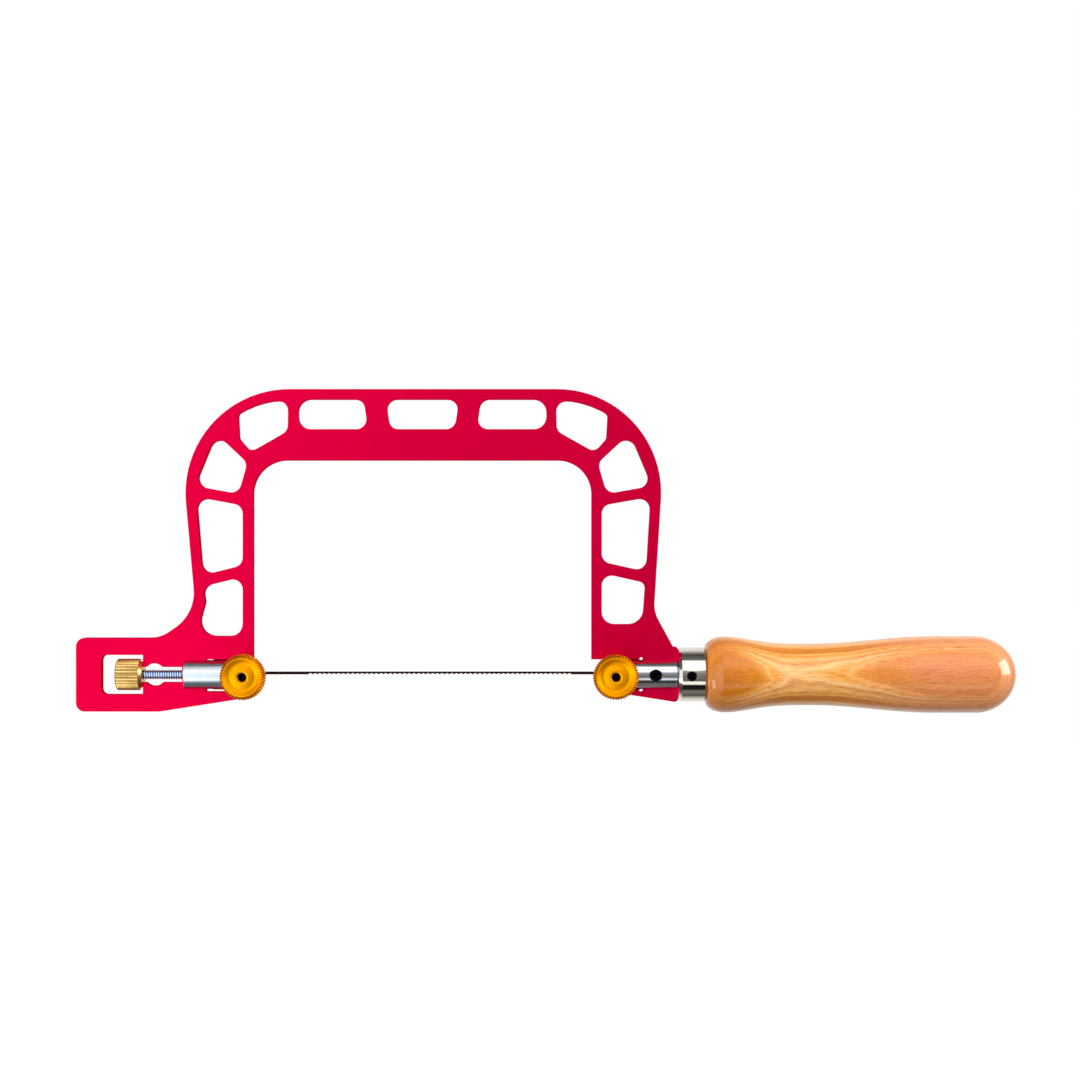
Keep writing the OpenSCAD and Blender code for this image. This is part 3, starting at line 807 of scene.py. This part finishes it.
@dataclass
class Blade:
    """Fine saw blade with widely set teeth along its lower edge."""

    finishes: Finishes
    pitch: float = 1.6
    tooth: float = 0.4
    first_tooth: float = -170.2
    last_tooth: float = -80.6
    # Height of the lower edge at equal steps along one tooth, as shares of the tooth.
    edge: tuple[float, ...] = (0.0, 0.55, 1.0, 0.8)

    def build(self) -> None:
        """Cuts the teeth in a thin strip and gives it its thickness."""
        low, high = span("blade")
        teeth = round((self.last_tooth - self.first_tooth) / self.pitch)
        steps = len(self.edge)
        mesh = bmesh.new()
        # A strip of cells: one plain cell at each end and a few to each tooth between them.
        cells = steps * teeth + 2
        bmesh.ops.create_grid(mesh, x_segments=cells, y_segments=1, size=0.5)
        bmesh.ops.rotate(mesh, verts=mesh.verts, matrix=Matrix.Rotation(math.pi / 2, 3, "X"))
        for vert in mesh.verts:
            k = round((vert.co.x + 0.5) * cells)
            step = k - 1
            x, lift = self.first_tooth + step * self.pitch / steps, self.edge[step % steps] * self.tooth
            if k in (0, cells):
                x, lift = low.x if k == 0 else high.x, 0.0
            z = high.z if vert.co.z > 0 else low.z + lift
            vert.co = Vector((x, -(high.y - low.y) / 2, z))
        grown = bmesh.ops.extrude_face_region(mesh, geom=mesh.faces[:])
        bmesh.ops.translate(mesh, vec=(0, high.y - low.y, 0),
                            verts=[v for v in grown["geom"] if isinstance(v, bmesh.types.BMVert)])
        bmesh.ops.recalc_face_normals(mesh, faces=mesh.faces)
        piece("saw_blade", mesh, self.finishes.blade.material(), ["blade"], "frame",
              sharp=20)


@dataclass
class Handle:
    """Turned wooden handle with two swells and a waist."""

    finishes: Finishes
    steps: int = 160
    curve_steps: int = 40
    shoulder_steps: int = 18
    butt_steps: int = 30
    face_r: float = 9.3
    face_edge: float = 0.3
    front_r: float = 12.85
    waist_r: float = 10.4
    rear_r: float = 13.0
    shoulder_l: float = 6.5
    swell_x: float = 43.0
    butt_l: float = 13.7
    tenon_r: float = 6.5
    front_bias: float = 1.6

    def profile(self, start: float, face: float, butt: float) -> list[Point]:
        """Gives the grip's profile.

        Args:
            start: Place of the tenon's end.
            face: Place of the front face.
            butt: Place of the butt.

        Returns:
            Profile points from the tenon to the butt.
        """
        front = face + self.shoulder_l
        points: list[Point] = [(0, start), (self.tenon_r, start), (self.tenon_r, face),
                               (self.face_r - self.face_edge, face)]
        for k in range(1, self.shoulder_steps):
            a = math.pi / 2 * k / self.shoulder_steps
            points.append((self.face_r + (self.front_r - self.face_r) * math.sin(a),
                           front - self.shoulder_l * math.cos(a)))
        for k in range(self.curve_steps, 0, -1):
            t = k / self.curve_steps
            points.append((eased(self.waist_r, self.front_r, t ** self.front_bias), front * t))
        for k in range(self.curve_steps + 1):
            t = k / self.curve_steps
            points.append((eased(self.waist_r, self.rear_r, t), self.swell_x * t))
        for k in range(1, self.butt_steps):
            a = math.pi / 2 * k / self.butt_steps
            points.append((self.rear_r * math.cos(a), butt - self.butt_l * (1 - math.sin(a))))
        return points + [(0, butt)]

    def build(self) -> None:
        """Turns the handle."""
        low, high = span("handle")
        _, ferrule_end = span("ferrule")
        mesh = lathe(self.profile(low.x, ferrule_end.x, high.x), Axis.ALONG, Vector((0, 0, 0)), self.steps)
        piece("wooden_handle", mesh, self.finishes.wood.material(), ["handle"], "frame",
              sharp=40)


@dataclass
class TurnedParts:
    """Bars, ferrule and screws, whose CAD shapes show as they are."""

    finishes: Finishes

    def build(self) -> None:
        """Gives each of these CAD nodes its finish."""
        bar, nickel = self.finishes.bar.material(), self.finishes.nickel.material()
        black, zinc = self.finishes.black.material(), self.finishes.zinc.material()
        finish_of = {"ferrule": nickel, "rear_bar_screw": black, "ferrule_screw": black}
        for end in ENDS:
            finish_of |= {f"{end}_bar": bar, f"{end}_clamp_screw": black, f"{end}_anvil_screw": black,
                          f"{end}_clamp_pad": zinc}
        for node, finish in finish_of.items():
            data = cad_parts[node].data
            data.materials.clear()
            data.materials.append(finish)
            log.info("%s: finished in %s", node, finish.name)


# ---- studio ----

Screens = tuple[tuple[float, float], ...]
# Light screens round the saw: tilt in degrees above the level line to the front, and brightness.
LEFT_SCREENS: Screens = (
    (-180, 0.9), (-128, 0.9), (-110, 0.45), (-98, 0.12), (-84, 0.11), (-64, 0.25), (-52, 0.9),
    (-46, 2.0), (34, 2.0), (42, 0.6), (50, 0.34), (66, 0.22), (84, 0.22), (104, 0.12), (118, 0.4),
    (135, 0.9), (180, 0.9))
RIGHT_SCREENS: Screens = (
    (-180, 0.9), (-128, 0.85), (-110, 0.45), (-98, 0.09), (-76, 0.22), (-66, 0.12), (-62, 0.012),
    (-42, 0.012), (-38, 1.2), (-28, 1.2), (-25, 0.13), (-5, 0.2), (10, 0.28), (20, 0.5), (25, 1.7),
    (62, 1.7), (68, 0.17), (98, 0.07), (112, 0.4), (130, 0.9), (180, 0.9))


@dataclass(frozen=True)
class Softbox:
    """Soft light aimed at the saw: place and size in metres, and power in watts."""

    name: str
    place: tuple[float, float, float]
    size: tuple[float, float]
    power: float
    mirrored: bool = False

    def build(self, target: Vector) -> None:
        """Hangs the light and aims it.

        Args:
            target: Place that it points at, in metres.
        """
        data = bpy.data.lights.new(self.name, "AREA")
        data.shape = "RECTANGLE"
        data.size, data.size_y = self.size
        data.energy = self.power
        made = bpy.data.objects.new(self.name, data)
        made.location = self.place
        made.rotation_euler = (target - Vector(self.place)).to_track_quat("-Z", "Y").to_euler()
        made.visible_camera = False
        made.visible_glossy = self.mirrored
        bpy.context.collection.objects.link(made)


SOFTBOXES = (
    Softbox("key softbox", (-0.4, -0.7, 1.0), (1.1, 1.1), 12.0),
    Softbox("back softbox", (0.2, 1.1, 0.5), (1.2, 1.2), 6.0),
    Softbox("low left softbox", (-0.83, -0.49, -0.41), (0.4, 0.4), 2.6, mirrored=True),
    Softbox("right softbox", (1.0, -0.1, 0.25), (0.6, 0.5), 9.0, mirrored=True),
)


@dataclass
class Studio:
    """Camera, pale floor and soft lights."""

    camera_place: tuple[float, float, float] = (-0.0913, -0.600, 0.0457)
    lens: float = 58.82
    floor_drop: float = 0.5
    floor_size: float = 8.0
    target: tuple[float, float, float] = (-0.0913, 0.0, 0.0457)
    cool: tuple[float, float, float] = (0.86, 0.95, 1.0)
    plain: tuple[float, float, float] = (1.0, 0.99, 0.96)
    # Sideways directions: up to left_x only the left screens show, and from right_x the right ones.
    left_x: float = -0.2
    right_x: float = -0.14
    # Past bright_x the screens darken, down to end_share of their light at dim_x.
    bright_x: float = 0.4
    dim_x: float = 0.8
    end_share: float = 0.6
    light: float = 2.2

    def build_camera(self) -> None:
        """Sets the camera level and square to the plate."""
        data = bpy.data.cameras.new("camera")
        data.lens = self.lens
        data.sensor_width = 36.0
        data.clip_start = 0.01
        made = bpy.data.objects.new("camera", data)
        made.location = self.camera_place
        made.rotation_euler = (math.pi / 2, 0, 0)
        bpy.context.collection.objects.link(made)
        bpy.context.scene.camera = made

    def build_floor(self) -> None:
        """Lays a matt white floor well below the saw."""
        mesh = bmesh.new()
        bmesh.ops.create_grid(mesh, x_segments=1, y_segments=1, size=self.floor_size / 2)
        bmesh.ops.translate(mesh, vec=(0, 0, -self.floor_drop), verts=mesh.verts)
        data = bpy.data.meshes.new("floor")
        mesh.to_mesh(data)
        mesh.free()
        made = bpy.data.objects.new("floor", data)
        finish, _, _ = start_material("matt white floor", Base_Color=linear("#FFFFFF"), Roughness=0.9,
                                      Emission_Color=linear("#FFFFFF"), Emission_Strength=0.6)
        data.materials.append(finish)
        made.visible_glossy = made.visible_diffuse = False
        bpy.context.collection.objects.link(made)

    def shades(self, screens: Screens, tint: tuple[float, float, float]) -> list[Stop]:
        """Turns screens into ramp stops, with full white at the studio's brightest light.

        Args:
            screens: Tilt and brightness of each edge of a screen.
            tint: Colour of the light.

        Returns:
            Places from 0 to 1 with their linear colours.
        """
        return [(0.5 + tilt / 360, tuple(part * level / self.light for part in tint) + (1.0,))
                for tilt, level in screens]

    def build_world(self) -> None:
        """Wraps the saw in soft white screens with dark gaps, in front of a white backdrop."""
        world = bpy.data.worlds.new("studio")
        world.use_nodes = True
        bpy.context.scene.world = world
        tree = world.node_tree
        tree.nodes.clear()
        way = add_node(tree, "ShaderNodeSeparateXYZ",
                       {0: add_node(tree, "ShaderNodeTexCoord").outputs["Generated"]})
        front = add_node(tree, "ShaderNodeMath", {0: way.outputs["Y"], 1: -1.0}, operation="MULTIPLY")
        tip = add_node(tree, "ShaderNodeMath", {0: way.outputs["Z"], 1: front.outputs[0]},
                       operation="ARCTAN2")
        turn = add_node(tree, "ShaderNodeMapRange", {"Value": tip.outputs[0], "From Min": -math.pi,
                                                     "From Max": math.pi}).outputs["Result"]
        aside = add_node(tree, "ShaderNodeMath", {0: way.outputs["X"]}, operation="ABSOLUTE")
        ends = add_node(tree, "ShaderNodeMapRange", {
            "Value": aside.outputs[0], "From Min": self.bright_x, "From Max": self.dim_x,
            "To Min": self.light, "To Max": self.end_share * self.light},
            interpolation_type="SMOOTHSTEP")
        side = add_node(tree, "ShaderNodeMapRange", {"Value": way.outputs["X"], "From Min": self.left_x,
                                                     "From Max": self.right_x},
                        interpolation_type="SMOOTHSTEP")
        left, right = (add_node(tree, "ShaderNodeValToRGB", {"Fac": turn}, self.shades(*look))
                       for look in ((LEFT_SCREENS, self.cool), (RIGHT_SCREENS, self.plain)))
        screens = add_node(tree, "ShaderNodeMix", {
            "Factor": side.outputs["Result"], 6: left.outputs["Color"], 7: right.outputs["Color"]},
            data_type="RGBA")
        light = add_node(tree, "ShaderNodeBackground", {"Color": screens.outputs[2],
                                                        "Strength": ends.outputs["Result"]})
        white = add_node(tree, "ShaderNodeBackground", {"Color": (1, 1, 1, 1), "Strength": 1.0})
        path = add_node(tree, "ShaderNodeLightPath")
        mixed = add_node(tree, "ShaderNodeMixShader", {0: path.outputs["Is Camera Ray"],
                                                       1: light.outputs[0], 2: white.outputs[0]})
        add_node(tree, "ShaderNodeOutputWorld", {"Surface": mixed.outputs[0]})

    def build(self) -> None:
        """Builds the floor, the world and the softboxes."""
        self.build_floor()
        self.build_world()
        for light in SOFTBOXES:
            light.build(Vector(self.target))


def main() -> None:
    """Builds the studio and the saw."""
    logging.basicConfig(level=logging.INFO, format="%(name)s %(message)s")
    studio = Studio()
    studio.build_camera()
    bpy.context.scene.view_settings.view_transform = "Standard"
    finishes = Finishes()
    FramePlate(finishes).build()
    for end in ENDS:
        ClampKnob(finishes, end).build()
    TensionScrew(finishes).build()
    Blade(finishes).build()
    Handle(finishes).build()
    TurnedParts(finishes).build()
    studio.build()


if __name__ == "__main__":
    main()
